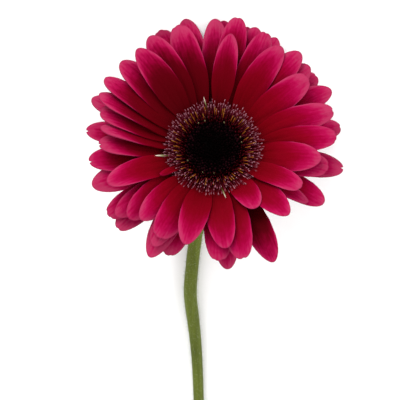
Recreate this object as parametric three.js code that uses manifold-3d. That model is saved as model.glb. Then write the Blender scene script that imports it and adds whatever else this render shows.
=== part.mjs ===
// A cut gerbera, laid down on a table with its face up, as it was picked: no vase and no leaves.
// The stem lies along the table, turns up at the neck and carries a green cup of bracts. On the cup
// sit, from the outside in, three layers of ray petals, a fringe of small florets and the dark eye.
// Millimetres, +Z up. The table is z = 0, the stem runs towards -Y and the bloom is at +Y.
import * as THREE from "three";
import { mergeVertices } from "three/addons/utils/BufferGeometryUtils.js";
import Module from "manifold-3d";

const wasm = await Module();
wasm.setup();
const { Manifold, Mesh: SolidMesh } = wasm;
const DEG = Math.PI / 180;

// Driving dimensions
const BLOOM = new THREE.Vector3(-0.6, 126.6, 22); // centre of the receptacle, level with the petal roots
const LEAN = 29; // degrees that the face leans from straight up, away from the stem
const SEEN_LEAN = 19; // degrees that it leans from the line of sight in which the petals were read
const SEEN_HEIGHT = 3; // height over the receptacle of the point that they were read from
const EYE_RADIUS = 11.8;
const FRINGE_INNER = 12.1;
const FRINGE_OUTER = 13.4;
const COLLAR_INNER = 13.7;
const COLLAR_OUTER = 15.8;
const SEATED = -1; // underside of the collar, fringe and eye, above the cup's top
const GAP = 0.3; // clearance between pieces that touch
const ROUND = 32; // sides of the round bodies
const BLADE = 0.7; // thickness of a petal
const STAGGER = 1.6; // every other petal of a layer stands this much over its neighbours
const TABLE_SPRING = 0.8; // height over which a drooping petal is turned level by the table
const TABLE_BITE = 0.15; // what a resting petal loses to its flat spot

// The ray petals, layer by layer from the front. Each is [angle, reach, roll, rise]: the angle and
// the reach of its tip as seen from the front, the roll about its own length, positive where the
// edge on the anticlockwise side stands up, and a rise of its own where it has one.
const LAYERS = [
  {
    rootRadius: 14.4,
    rootHeight: 1.2,
    rise: 15,
    curl: 20,
    width: 11.6,
    rays: [
      [5, 51.8, 10],
      [17, 52.7, 12],
      [38, 48.8, 14],
      [56, 51.4, 12],
      [65, 53.5, 10],
      [81, 48.6, 0, 17.5],
      [105, 53.6, -12],
      [119, 53.6, -14],
      [127, 52, -6, 16.5],
      [148, 53.7, 28],
      [155, 52.8, 34],
      [162, 49.7, 30],
      [170, 47.9, 34],
      [196, 46.3, 4, 16.5],
      [225, 42.6, -16],
      [239, 43.8, -14],
      [254, 42, -6, 16.5],
      [277, 42.2, 10],
      [306, 31, 0, 14],
      [338, 40.7, -8, 16.5],
      [354, 45.5, 12],
    ],
  },
  {
    rootRadius: 14.7,
    rootHeight: 0.2,
    rise: 11.5,
    curl: 20,
    width: 11.4,
    rays: [
      [41, 52.3, 8],
      [48, 53.4, 6],
      [70, 54, 8],
      [79, 56, 4],
      [89, 54.5, -6],
      [136, 52.6, 8],
      [178, 47.9, 30],
      [215, 49.6, -14],
      [220, 45.9, -16],
      [239, 48, -8],
      [273, 47.2, 0],
      [285, 47.9, 8],
      [317, 42.2, -4],
      [330, 45.7, -6],
      [350, 48.9, 8],
    ],
  },
  {
    rootRadius: 15,
    rootHeight: -0.4,
    rise: 5,
    curl: 22,
    width: 11.2,
    rays: [
      [9, 54.3, 6],
      [29, 53.4, 6],
      [36, 51.6, 4],
      [74, 54, 4, 2.8],
      [85, 54.4, 0, 4.4],
      [102, 56.1, -4, 4.4],
      [114, 54.8, -6, 2],
      [158, 55, 16],
      [172, 53.8, 6],
      [186, 52.3, 0],
      [199, 53, -6],
      [213, 52.2, -12],
      [222, 52.3, 0],
      [241, 52.6, 0],
      [247, 48.7, -6],
      [277, 51, 0],
      [297, 54, 14],
      [332, 51.6, 4],
      [350, 55.3, 6],
    ],
  },
];

// A closed solid from a three.js geometry, whatever its normals and texture coordinates were.
function solidOf(geometry) {
  const bare = geometry.clone();
  bare.deleteAttribute("normal");
  bare.deleteAttribute("uv");
  const merged = mergeVertices(bare, 1e-4);
  return new Manifold(
    new SolidMesh({
      numProp: 3,
      vertProperties: new Float32Array(merged.attributes.position.array),
      triVerts: new Uint32Array(merged.index.array),
    }),
  );
}

// The geometry of a solid, for a mesh.
function geometryOf(solid) {
  const { numProp, numVert, vertProperties, triVerts } = solid.getMesh();
  const positions = new Float32Array(numVert * 3);
  for (let i = 0; i < numVert; i++)
    positions.set(vertProperties.subarray(i * numProp, i * numProp + 3), i * 3);
  const geometry = new THREE.BufferGeometry();
  geometry.setAttribute("position", new THREE.BufferAttribute(positions, 3));
  geometry.setIndex(new THREE.BufferAttribute(new Uint32Array(triVerts), 1));
  geometry.computeVertexNormals();
  return geometry;
}

// All the given solids as one body, without the scraps and the sealed hollows that fusing leaves.
function fused(solids, cutter) {
  let joined = Manifold.union(solids);
  if (cutter) joined = joined.subtract(cutter);
  const bodies = joined.decompose().sort((a, b) => b.volume() - a.volume());
  return bodies[0];
}

// A geometry from rows of points, closed round each row and capped at both ends.
function tube(rows) {
  const around = rows[0].length;
  const points = rows.flat();
  const faces = [];
  for (let i = 0; i + 1 < rows.length; i++)
    for (let j = 0; j < around; j++) {
      const k = (j + 1) % around;
      const [a, b] = [i * around + j, i * around + k];
      faces.push(a, b, b + around, a, b + around, a + around);
    }
  const last = (rows.length - 1) * around;
  for (let j = 1; j + 1 < around; j++) {
    faces.push(0, j + 1, j);
    faces.push(last, last + j, last + j + 1);
  }
  return new THREE.BufferGeometry().setFromPoints(points).setIndex(faces);
}

// A blade from two grids of points, its upper and lower face, both split into triangles alike.
function blade(upper, lower) {
  const along = upper.length;
  const across = upper[0].length;
  const points = [...upper.flat(), ...lower.flat()];
  const under = along * across;
  const faces = [];
  for (let i = 0; i + 1 < along; i++)
    for (let j = 0; j + 1 < across; j++) {
      const a = i * across + j;
      const [b, c, d] = [a + across, a + across + 1, a + 1];
      faces.push(a, b, c, a, c, d);
      faces.push(a + under, c + under, b + under, a + under, d + under, c + under);
    }
  const wall = (a, b) => faces.push(a, a + under, b + under, a, b + under, b);
  for (let i = 0; i + 1 < along; i++) {
    wall(i * across, (i + 1) * across);
    wall((i + 2) * across - 1, (i + 1) * across - 1);
  }
  for (let j = 0; j + 1 < across; j++) {
    wall(j + 1, j);
    wall((along - 1) * across + j, (along - 1) * across + j + 1);
  }
  return new THREE.BufferGeometry().setFromPoints(points).setIndex(faces);
}

// Numbers from 0 to 1, the same on every run.
function seeded(seed) {
  let state = seed;
  return () => {
    state = (state * 16807) % 2147483647;
    return state / 2147483647;
  };
}

// Places on the bloom, whose own frame stands on the receptacle with +Z out of the face
const bloom = new THREE.Group();
bloom.position.copy(BLOOM);
bloom.rotation.x = -LEAN * DEG;
bloom.updateMatrixWorld(true);
const fromTable = bloom.matrixWorld.clone().invert();

// A body turned about the bloom's axis from a closed outline of [radius, height] pairs.
function turned(outline, sides = ROUND) {
  const profile = outline.map(([radius, height]) => new THREE.Vector2(radius, height));
  return new THREE.LatheGeometry(profile, sides).rotateX(Math.PI / 2);
}

// What lies under the table, in the bloom's frame.
function underTable() {
  const slab = new THREE.BoxGeometry(400, 400, 20).translate(0, 0, -10);
  return slab.translate(BLOOM.x, BLOOM.y, 0).applyMatrix4(fromTable);
}

// Half the width of a petal at a place along it, as a share of half its full width.
function outline(s) {
  const widest = 0.62;
  const claw = 0.3;
  const taper = claw + (1 - claw) * Math.sin(Math.min(1, s / widest) * (Math.PI / 2));
  const past = Math.max(0, s - widest) / 0.385;
  return taper * Math.sqrt(Math.max(0, 1 - past * past));
}

// The slope along a petal, with its root level: it bends by curl all along, and by hook past bend.
function slope(s, curl, hook) {
  const bend = 0.6;
  return -(curl * s + (hook * Math.max(0, s - bend)) / (1 - bend)) * DEG;
}

// The middle line of a petal from its root to its tip: [radius, height, slope] at each of the stops.
function spine(root, tip, curl, hook, stops) {
  const steps = 60;
  const line = [[0, 0]];
  for (let i = 0; i < steps; i++) {
    const angle = slope((i + 0.5) / steps, curl, hook);
    const [r, h] = line[i];
    line.push([r + Math.cos(angle) / steps, h + Math.sin(angle) / steps]);
  }
  const [endR, endH] = line[steps];
  const chord = Math.hypot(tip[0] - root[0], tip[1] - root[1]);
  const length = chord / Math.hypot(endR, endH);
  const tilt = Math.atan2(tip[1] - root[1], tip[0] - root[0]) - Math.atan2(endH, endR);
  return stops.map((s) => {
    const [r, h] = line[Math.round(s * steps)];
    return [
      root[0] + length * (r * Math.cos(tilt) - h * Math.sin(tilt)),
      root[1] + length * (r * Math.sin(tilt) + h * Math.cos(tilt)),
      tilt + slope(s, curl, hook),
    ];
  });
}

// A point that droops to the table, moved up to lie on it.
function rested(point) {
  const onTable = point.clone().applyMatrix4(bloom.matrixWorld);
  const least = BLADE / 2 - TABLE_BITE;
  const over = onTable.z - least - TABLE_SPRING;
  if (over < 0) onTable.z = least + TABLE_SPRING * Math.exp(over / TABLE_SPRING);
  return onTable.applyMatrix4(fromTable);
}

// One ray petal as a blade in the bloom's frame.
function petal({ angle, reach, roll, rise, root, width, curl }) {
  const lean = SEEN_LEAN * DEG;
  const x = reach * Math.cos(angle * DEG);
  const y = (reach * Math.sin(angle * DEG) - (rise - SEEN_HEIGHT) * Math.sin(lean)) / Math.cos(lean);
  const azimuth = Math.atan2(y, x);
  const facing = Math.max(0, -Math.sin(azimuth)); // 1 for the petals nearest the stem
  const hook = 10 + 22 * facing;
  const cup = 0.9; // edges stand up at the root ...
  const dome = 0.4 + 0.9 * facing; // ... and turn down at the tip
  const stops = [0, 0.3, 0.55, 0.8, 0.95, 1];
  const across = [-1, -0.4, 0.4, 1];
  const line = spine(root, [Math.hypot(x, y), rise], curl, hook, stops);
  const out = new THREE.Vector3(Math.cos(azimuth), Math.sin(azimuth), 0);
  const side = new THREE.Vector3(-Math.sin(azimuth), Math.cos(azimuth), 0);
  const up = new THREE.Vector3(0, 0, 1);
  const faces = [1, -1].map((face) =>
    stops.map((s, i) => {
      const [radius, height, angleHere] = line[i];
      const turn = roll * DEG * Math.min(1, s / 0.4);
      const normal = up.clone().multiplyScalar(Math.cos(angleHere));
      normal.addScaledVector(out, -Math.sin(angleHere));
      const edge = side.clone().multiplyScalar(Math.cos(turn));
      edge.addScaledVector(normal, Math.sin(turn));
      const facingUp = normal.clone().multiplyScalar(Math.cos(turn));
      facingUp.addScaledVector(side, -Math.sin(turn));
      return across.map((q) => {
        const point = out.clone().multiplyScalar(radius).addScaledVector(up, height);
        point.addScaledVector(edge, (q * outline(s) * width) / 2);
        point.addScaledVector(facingUp, q * q * (cup * (1 - s) - dome * s));
        return rested(point).addScaledVector(facingUp, (face * BLADE) / 2);
      });
    }),
  );
  return blade(faces[0], faces[1]);
}

// The ray petals, rooted in the collar that their claws make together.
function rayPetals() {
  const draw = seeded(11);
  const solids = [
    solidOf(
      turned([
        [COLLAR_INNER, SEATED],
        [COLLAR_OUTER, SEATED],
        [COLLAR_OUTER, 0.8],
        [COLLAR_OUTER - 1, 2.2],
        [COLLAR_INNER, 2.2],
        [COLLAR_INNER, SEATED],
      ]),
    ),
  ];
  for (const layer of LAYERS)
    layer.rays.forEach(([angle, reach, roll, ownRise], i) => {
      const width = layer.width * (0.94 + 0.12 * draw());
      const curl = layer.curl + 8 * (draw() - 0.5);
      const lift = (i % 2 ? 0.5 : -0.5) * STAGGER;
      const rise = ownRise ?? layer.rise + lift + 0.6 * (draw() - 0.5);
      const root = [layer.rootRadius, layer.rootHeight + lift / 2];
      solids.push(solidOf(petal({ angle, reach, roll, rise, root, width, curl })));
    });
  return fused(solids, solidOf(underTable()));
}

// The fringe: rings of slender florets that lean outwards, on a ring round the eye.
const FRINGE_RINGS = [
  { count: 42, foot: [13, 2.9], lean: 39, length: 10 },
  { count: 36, foot: [12.8, 4], lean: 54, length: 8.6 },
  { count: 28, foot: [12.4, 4.6], lean: 72, length: 6.6 },
];

function fringe() {
  const draw = seeded(23);
  const body = turned([
    [FRINGE_INNER, SEATED],
    [FRINGE_OUTER, SEATED],
    [FRINGE_OUTER, 3],
    [FRINGE_INNER + 0.6, 4.9],
    [FRINGE_INNER, 4.9],
    [FRINGE_INNER, SEATED],
  ]);
  const solids = [solidOf(body)];
  FRINGE_RINGS.forEach(({ count, foot, lean, length }, ring) => {
    for (let i = 0; i < count; i++) {
      const azimuth = ((i + 0.5 * (ring % 2) + 0.3 * (draw() - 0.5)) / count) * 2 * Math.PI;
      const long = length * (0.9 + 0.2 * draw());
      const stand = lean + 8 * (draw() - 0.5);
      const floret = new THREE.CylinderGeometry(0.66, 0.4, long, 3);
      floret.translate(0, long / 2, 0).rotateZ((stand - 90) * DEG);
      floret.rotateX(Math.PI / 2).translate(foot[0], 0, foot[1]);
      solids.push(solidOf(floret.rotateZ(azimuth)));
    }
  });
  return fused(solids);
}

// The eye: closed florets in a spiral, larger than life, on a low dome.
const EYE_FLORETS = 76;
const GOLDEN = 137.508;

function eye() {
  const rim = 3.2;
  const crown = 1.4; // the dome's rise from its rim to its middle
  const body = turned([
    [0, SEATED],
    [EYE_RADIUS, SEATED],
    [EYE_RADIUS, rim],
    [EYE_RADIUS * 0.6, rim + crown * 0.64],
    [0, rim + crown],
  ]);
  const solids = [solidOf(body)];
  for (let i = 0; i < EYE_FLORETS; i++) {
    const share = Math.sqrt((i + 0.5) / EYE_FLORETS);
    const bud = new THREE.ConeGeometry(1.35, 2.6, 4).rotateX(Math.PI / 2).rotateZ(i);
    bud.translate(share * (EYE_RADIUS - 1.4), 0, rim + crown * (1 - share * share) + 0.2);
    solids.push(solidOf(bud.rotateZ(i * GOLDEN * DEG)));
  }
  return fused(solids);
}

// The cup of bracts behind the petals, and the outline that the bracts lie along.
const CUP_DEPTH = 14.5;
const CUP_FOOT = 3.8;
const CUP_OUTLINE = new THREE.CubicBezierCurve3(
  new THREE.Vector3(CUP_FOOT, 0, -CUP_DEPTH),
  new THREE.Vector3(11.5, 0, -CUP_DEPTH + 0.4),
  new THREE.Vector3(15.2, 0, -8),
  new THREE.Vector3(COLLAR_OUTER, 0, SEATED - GAP),
);
const BRACT_ROWS = [
  { count: 9, from: 0.06, to: 0.58, width: 4.6, stand: 1.2 },
  { count: 12, from: 0.3, to: 0.8, width: 4.4, stand: 1.1 },
  { count: 15, from: 0.52, to: 0.98, width: 4.2, stand: 1 },
];

function bract({ from, to, width, stand }, azimuth) {
  const stops = [
    [0, 0.7],
    [0.5, 1],
    [1, 0.12],
  ];
  const rows = stops.map(([s, wide]) => {
    const at = from + (to - from) * s;
    const { x: radius, z: height } = CUP_OUTLINE.getPoint(at);
    const tangent = CUP_OUTLINE.getTangent(at);
    const off = new THREE.Vector3(tangent.z, 0, -tangent.x); // out of the cup
    const middle = new THREE.Vector3(radius, 0, height).addScaledVector(off, stand * s);
    const half = (wide * width) / 2;
    return [
      middle.clone().addScaledVector(off, 0.6),
      middle.clone().addScaledVector(off, -0.6).setComponent(1, half),
      middle.clone().addScaledVector(off, -0.6).setComponent(1, -half),
    ];
  });
  return tube(rows).rotateZ(azimuth);
}

function cup() {
  const wall = CUP_OUTLINE.getPoints(6).map(({ x, z }) => [x, z]);
  const solids = [solidOf(turned([[0, -CUP_DEPTH], ...wall, [0, SEATED - GAP]]))];
  BRACT_ROWS.forEach((row, index) => {
    for (let i = 0; i < row.count; i++) {
      const azimuth = ((i + 0.5 * (index % 2)) / row.count) * 2 * Math.PI;
      solids.push(solidOf(bract(row, azimuth)));
    }
  });
  const above = new THREE.BoxGeometry(60, 60, 10).translate(0, 0, SEATED - GAP + 5);
  return fused(solids, solidOf(above));
}

// The stem: [x, y, height of its middle, radius] from the bloom's middle, neck first. Where the
// height is left out it lies on the table.
const STEM_SIDES = 10;
const STEM_ROUTE = [
  [-0.8, -13.4, 5.2, 3],
  [-2.8, -21.5, 3.9, 2.8],
  [-7, -39, 3.1, 2.75],
  [-8.9, -54, 2.8, 2.75],
  [-9.6, -65.5, null, 2.75],
  [-8.4, -76, null, 2.65],
  [-6.9, -91, null, 2.35],
  [-6, -112, null, 2.2],
  [-4.5, -150, null, 2.25],
  [-1, -200, null, 2.35],
  [5, -255, null, 2.5],
  [13, -306, null, 2.7],
];
const CUT_SLANT = 3.2; // how much further the upper side of the cut end reaches than the lower

function stem() {
  const facet = Math.cos(Math.PI / STEM_SIDES);
  const neck = [CUP_DEPTH + GAP, CUP_DEPTH + 3.4].map((depth, i) =>
    new THREE.Vector3(0, 0, -depth).applyMatrix4(bloom.matrixWorld).setComponent(0, BLOOM.x - 0.1 * i),
  );
  const route = STEM_ROUTE.map(
    ([x, y, height, radius]) =>
      new THREE.Vector3(BLOOM.x + x, BLOOM.y + y, height ?? radius * facet - 0.05),
  );
  const path = new THREE.CatmullRomCurve3([...neck, ...route], false, "centripetal");
  const radii = [CUP_FOOT - 0.4, 3.3, ...STEM_ROUTE.map((stop) => stop[3])];
  const steps = 34;
  const start = new THREE.Vector3(0, Math.sin(LEAN * DEG), Math.cos(LEAN * DEG)).negate();
  const rows = [];
  for (let i = 0; i <= steps; i++) {
    const share = i / steps;
    const t = path.getUtoTmapping(share ** 1.5, 0);
    const at = path.getPoint(t);
    const ahead = i === 0 ? start : path.getTangent(t);
    const place = t * (radii.length - 1);
    const before = Math.min(Math.floor(place), radii.length - 2);
    const radius = THREE.MathUtils.lerp(radii[before], radii[before + 1], place - before);
    const side = new THREE.Vector3(0, 0, 1).cross(ahead).normalize();
    const up = ahead.clone().cross(side);
    const row = [];
    for (let j = 0; j < STEM_SIDES; j++) {
      const turn = ((j + 0.5) / STEM_SIDES) * 2 * Math.PI;
      const point = at.clone().addScaledVector(up, -radius * Math.cos(turn));
      point.addScaledVector(side, radius * Math.sin(turn));
      if (i === steps) point.addScaledVector(ahead, (-CUT_SLANT / 2) * Math.cos(turn));
      row.push(point);
    }
    rows.push(row);
  }
  const below = new THREE.BoxGeometry(200, 500, 10).translate(0, 0, -5);
  return solidOf(tube(rows)).subtract(solidOf(below));
}

// The flower
function piece(name, solid, color, roughness) {
  const material = new THREE.MeshStandardMaterial({ color, roughness, metalness: 0 });
  const mesh = new THREE.Mesh(geometryOf(solid), material);
  mesh.name = name;
  return mesh;
}

const gerbera = new THREE.Group();
gerbera.name = "cut_gerbera";
bloom.name = "bloom";
bloom.add(
  piece("ray_petals", rayPetals(), "#b4003f", 0.6),
  piece("fringe_florets", fringe(), "#5a1730", 0.7),
  piece("eye_florets", eye(), "#0b0305", 0.6),
  piece("bract_cup", cup(), "#5b6a2e", 0.75),
);
gerbera.add(bloom, piece("stem", stem(), "#6a7a3a", 0.65));

export default gerbera;
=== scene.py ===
# A cut gerbera laid on a pale table: long bare stem, green cup of bracts, magenta ray petals,
# a fringe of plum florets with orange anthers, and a near-black eye of closed buds.
# Sizes are in mm and angles in degrees, unless a comment says otherwise.
from math import atan2, cos, exp, hypot, pi, radians, sin, sqrt

import bpy
from mathutils import Matrix, Vector


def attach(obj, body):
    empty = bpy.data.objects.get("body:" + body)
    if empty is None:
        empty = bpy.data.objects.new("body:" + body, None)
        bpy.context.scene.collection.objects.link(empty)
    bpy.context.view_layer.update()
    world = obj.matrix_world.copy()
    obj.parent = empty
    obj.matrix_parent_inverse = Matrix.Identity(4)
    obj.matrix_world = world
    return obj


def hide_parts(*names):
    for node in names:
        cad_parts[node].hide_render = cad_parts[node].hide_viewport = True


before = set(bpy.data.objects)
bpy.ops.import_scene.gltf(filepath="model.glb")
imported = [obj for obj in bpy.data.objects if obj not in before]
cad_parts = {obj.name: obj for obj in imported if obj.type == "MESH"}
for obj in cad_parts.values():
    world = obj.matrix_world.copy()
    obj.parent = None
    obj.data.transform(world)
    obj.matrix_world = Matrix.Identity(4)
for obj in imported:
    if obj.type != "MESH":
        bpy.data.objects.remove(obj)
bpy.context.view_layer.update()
scene = bpy.context.scene


# The camera and the room
# The photograph is taken with a long lens, face on, with the bloom's face leaning a little
# upwards. Laid down, the flower is seen from above, 10 degrees off the vertical.
MM = 0.001
PHOTO_SIDE = 400  # pixels along each side of the photograph
PIXEL = 0.42 * MM  # what one of them covers at the bloom
BLOOM = Vector((-0.6, 126.6, 22)) * MM  # centre of the receptacle, as in the CAD model
LEAN = radians(29)  # how far the bloom's face leans from straight up, towards +Y
SEEN_LEAN = radians(19)  # how far it leans from the line of sight
SEEN_HEIGHT = 3  # mm over the receptacle of the point that the petals were read from
SEEN_AT = Vector((213, 148))  # the pixel of that point
DISTANCE = 2.4  # m, as far as a long lens needs for its flat look
SENSOR = 36  # mm

face_out = Vector((0, sin(LEAN), cos(LEAN)))
to_camera = Vector((0, sin(LEAN - SEEN_LEAN), cos(LEAN - SEEN_LEAN)))
image_right = Vector((1, 0, 0))
image_up = to_camera.cross(image_right)
aim = BLOOM + face_out * SEEN_HEIGHT * MM
aim -= image_right * (SEEN_AT.x - PHOTO_SIDE / 2) * PIXEL
aim -= image_up * (PHOTO_SIDE / 2 - SEEN_AT.y) * PIXEL

bpy.ops.object.select_all(action="DESELECT")
bpy.ops.object.camera_add(location=aim + to_camera * DISTANCE)
camera = bpy.context.object
camera.name = "camera"
camera.rotation_euler = Matrix((image_right, image_up, to_camera)).transposed().to_euler()
camera.data.sensor_width = SENSOR
camera.data.lens = SENSOR * DISTANCE / (PHOTO_SIDE * PIXEL)
camera.data.clip_start = 0.1
scene.camera = camera


def paint(hex_colour):
    """An sRGB hex colour as linear values."""
    channels = [int(hex_colour[i : i + 2], 16) / 255 for i in (1, 3, 5)]
    linear = [c / 12.92 if c <= 0.04045 else ((c + 0.055) / 1.055) ** 2.4 for c in channels]
    return (*linear, 1)


def add(material, kind, inputs=None, stops=None, **settings):
    """Adds a shader node with its settings, its links and the stops of its colour ramp.

    A node given as an input is linked from its first live output."""
    node = material.node_tree.nodes.new("ShaderNode" + kind)
    for name, value in settings.items():
        setattr(node, name, value)
    for name, value in (inputs or {}).items():
        if isinstance(value, bpy.types.Node):
            value = next(output for output in value.outputs if output.enabled)
        if isinstance(value, bpy.types.NodeSocket):
            material.node_tree.links.new(value, node.inputs[name])
        else:
            node.inputs[name].default_value = value
    if stops:
        elements = node.color_ramp.elements
        while len(elements) < len(stops):
            elements.new(0.5)
        for element, (place, colour) in zip(elements, stops):
            element.position = place
            element.color = paint(colour)
    return node


def blank_material(name):
    """A new material, empty but for its output."""
    material = bpy.data.materials.new(name)
    material.use_nodes = True
    material.node_tree.nodes.clear()
    return material


TABLE_SIDE = 6  # m
SPECKLES = 900  # from one side of the table to the other, one each 7 mm

# Matt laminate: plain white, pressed slightly rough, so that the eye sees no gloss and no grain,
# only the faintest speckle.
table_top = blank_material("white_matt_laminate")
speckle = add(table_top, "TexNoise", {"Scale": SPECKLES, "Detail": 2})
shade = add(table_top, "ValToRGB", {0: speckle}, stops=[(0, "#f4f4f4"), (1, "#f8f8f8")])
body = add(table_top, "BsdfPrincipled", {"Base Color": shade, "Roughness": 0.7})
add(table_top, "OutputMaterial", {"Surface": body})

bpy.ops.mesh.primitive_plane_add(size=TABLE_SIDE, location=(0, 0, 0))
floor = bpy.context.object
floor.name = "table"
floor.data.materials.append(table_top)

room = bpy.data.worlds.new("white_room")
scene.world = room
room.use_nodes = True
room.node_tree.nodes["Background"].inputs["Color"].default_value = (1, 1, 1, 1)
room.node_tree.nodes["Background"].inputs["Strength"].default_value = 1.05
scene.view_settings.view_transform = "Standard"


def softbox(name, place, size, power):
    """A square studio light that faces the bloom: its place and side in m, its power in watts."""
    bpy.ops.object.light_add(type="AREA", location=place)
    lamp = bpy.context.object
    lamp.name = name
    lamp.data.size = size
    lamp.data.energy = power
    lamp.rotation_euler = (BLOOM - lamp.location).to_track_quat("-Z", "Y").to_euler()


softbox("top_light", (-0.9, 2.0, 1.1), 1.4, 50)
softbox("fill_light", (-1.4, -1.3, 1.6), 1.6, 14)
softbox("side_light", (2.0, 0.2, 1.2), 1.6, 23)


# The stem
# The flower stalk: a fleshy green tube, bare of leaves, softly ribbed and covered in fine white
# down. It is grown into the foot of the cup, bends down to the table and lies on it to its
# lower end, which is cut slantwise and shows the pale pith.
CUP_DEPTH = 14.5  # depth of the foot of the cup under the rim of the receptacle
NECK_RADIUS = 3.4
NECK_TAPER = 0.1  # how much slimmer it is at the second depth
NECK_DEPTHS = (0.3, 3.4)  # how far under the cup's foot it starts, and is still in line with it
# Each stop is x and y from the bloom, the height of its middle and its radius. Where the height
# is left out the stem lies on the table.
STEM_ROUTE = [
    (-0.8, -13.4, 5.2, 3),
    (-2.8, -21.5, 3.9, 2.8),
    (-7, -39, 3.1, 2.75),
    (-8.9, -54, 2.8, 2.75),
    (-9.6, -65.5, None, 2.75),
    (-8.4, -76, None, 2.65),
    (-6.9, -91, None, 2.35),
    (-6, -112, None, 2.2),
    (-4.5, -150, None, 2.25),
    (-1, -200, None, 2.35),
    (5, -255, None, 2.5),
    (13, -306, None, 2.7),
]
STEM_FLAT = 0.95  # height of its middle over the table, as a share of its radius
STEM_STEPS = 230
STEP_GROWTH = 1.4  # over 1, so that the steps are shortest at the neck
LOOK_AHEAD = 0.01  # how far on, in stops, the line is measured for its direction
STEM_SIDES = 44
STEM_RIBS = 11
RIB_DEPTH = 0.008  # as a share of the radius
CUT_SLANT = 3.2  # how much further the upper side of the cut end reaches than the lower
RIND = 0.45  # thickness of the green rind round the pith at the cut end
PITH_SUNK = 0.35  # how far the pith has dried back behind the rind

to_table = Matrix.Translation(BLOOM) @ Matrix.Rotation(-LEAN, 4, "X") @ Matrix.Scale(MM, 4)


def seeded(seed):
    """Endless random numbers from 0 to 1, the same on each run."""
    state = seed
    while True:
        state = state * 16807 % 2147483647
        yield state / 2147483647


def knitted(stops, spot, share):
    """A point between two stops of a smooth line through all of them (Catmull-Rom, centripetal)."""
    ends = [stops[0] * 2 - stops[1], *stops, stops[-1] * 2 - stops[-2]]
    p = ends[spot : spot + 4]
    t = [0.0]
    for a, b in zip(p, p[1:]):
        t.append(t[-1] + sqrt((b.xyz - a.xyz).length))
    now = t[1] + (t[2] - t[1]) * share
    while len(p) > 1:
        order = 5 - len(p)
        span = [t[i + order] - t[i] for i in range(len(p) - 1)]
        p = [
            a * ((t[i + order] - now) / span[i]) + b * ((now - t[i]) / span[i])
            for i, (a, b) in enumerate(zip(p, p[1:]))
        ]
    return p[0]


neck = [to_table @ Vector((0, 0, -CUP_DEPTH - deep)) / MM for deep in NECK_DEPTHS]
stem_stops = [Vector((*point, NECK_RADIUS - NECK_TAPER * i)) for i, point in enumerate(neck)]
for x, y, height, radius in STEM_ROUTE:
    middle = radius * STEM_FLAT if height is None else height
    stem_stops.append(Vector((BLOOM.x / MM + x, BLOOM.y / MM + y, middle, radius)))


def on_stem(share, turn):
    """A point on the stem's skin, the way out of it and the way down the stem."""
    place = min(share, 0.99999) ** STEP_GROWTH * (len(stem_stops) - 1)
    here = knitted(stem_stops, int(place), place % 1)
    place = min(place + LOOK_AHEAD, len(stem_stops) - 1.0001)
    ahead = (knitted(stem_stops, int(place), place % 1) - here).xyz.normalized()
    if place < 2 * LOOK_AHEAD:
        ahead = -face_out  # the first ring lies flat under the foot of the cup
    side = Vector((0, 0, 1)).cross(ahead).normalized()
    out = ahead.cross(side) * -cos(turn) + side * sin(turn)
    rib = 1 + RIB_DEPTH * cos(STEM_RIBS * turn)
    point = here.xyz + out * (here.w * rib)
    if share == 1:
        point -= ahead * (CUT_SLANT / 2 * cos(turn))
    point.z = max(point.z, 0)
    return point * MM, out, ahead


def flat_grid(long_steps, cross_steps):
    """A grid that reaches from -1 to 1 both ways, its length along X."""
    bpy.ops.object.select_all(action="DESELECT")
    bpy.ops.mesh.primitive_grid_add(x_subdivisions=long_steps, y_subdivisions=cross_steps, size=2)
    return bpy.context.object


stem = flat_grid(STEM_STEPS, STEM_SIDES)
stem.name = "stem_skin"
for vertex in stem.data.vertices:
    share, turn = (vertex.co.x + 1) / 2, (vertex.co.y + 1) * pi
    vertex.co = on_stem(share, turn)[0]
bpy.ops.object.mode_set(mode="EDIT")
bpy.ops.mesh.select_all(action="SELECT")
bpy.ops.mesh.remove_doubles(threshold=0.001 * MM)
bpy.ops.mesh.fill_holes(sides=0)
bpy.ops.mesh.select_all(action="SELECT")
bpy.ops.mesh.normals_make_consistent(inside=False)
bpy.ops.object.mode_set(mode="OBJECT")


# Stem skin: a soft matt green, finely streaked along its length and creased across at the bend.
# It is painted paler towards the bloom, painted light where the bloom shades it. The finest down,
# too fine to model, is its pale sheen.
STREAK_WIDTH = 1.111
STREAK_LENGTH = 16.67
PATCH_SIZE = 16.67
CREASE_SPACING = 1.4
CREASES = {"at": 65, "from": 10, "full": 3}  # y of their middle, and how far off they start
PAINTED_LIGHT_SPAN = {"from": -30, "full": 130}  # y where the painted light on the skin starts, and where it is full

stem_skin = blank_material("gerbera_stem_skin")
place = add(stem_skin, "TexCoord").outputs["Object"]
across, along = 1 / (STREAK_WIDTH * MM), 1 / (STREAK_LENGTH * MM)
stretch = add(stem_skin, "Mapping", {"Vector": place, "Scale": (across, along, across)})
streak = add(stem_skin, "TexNoise", {"Vector": stretch, "Scale": 1, "Detail": 3})
patch = add(stem_skin, "TexNoise", {"Vector": place, "Scale": 1 / (PATCH_SIZE * MM), "Detail": 2})
shift = add(stem_skin, "Math", {0: streak, 1: patch})
up_stem = add(stem_skin, "SeparateXYZ", {0: place}).outputs["Y"]
# Painted light: the skin is made paler towards the bloom, where the bloom's shade falls on it.
painted_light = add(
    stem_skin,
    "MapRange",
    {"Value": up_stem, "From Min": PAINTED_LIGHT_SPAN["from"] * MM, "From Max": PAINTED_LIGHT_SPAN["full"] * MM},
)
painted_light = add(stem_skin, "Math", {0: painted_light, 1: 0.9}, operation="MULTIPLY")
shift = add(stem_skin, "Math", {0: shift, 1: painted_light})
shift = add(stem_skin, "Math", {0: shift, 1: 0.5}, operation="MULTIPLY")
shade = add(
    stem_skin,
    "ValToRGB",
    {0: shift},
    stops=[(0.3, "#3a4112"), (0.5, "#414916"), (0.85, "#5c6722")],
)
from_bend = add(stem_skin, "Math", {0: up_stem, 1: CREASES["at"] * MM}, operation="SUBTRACT")
from_bend = add(stem_skin, "Math", {0: from_bend}, operation="ABSOLUTE")
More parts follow.
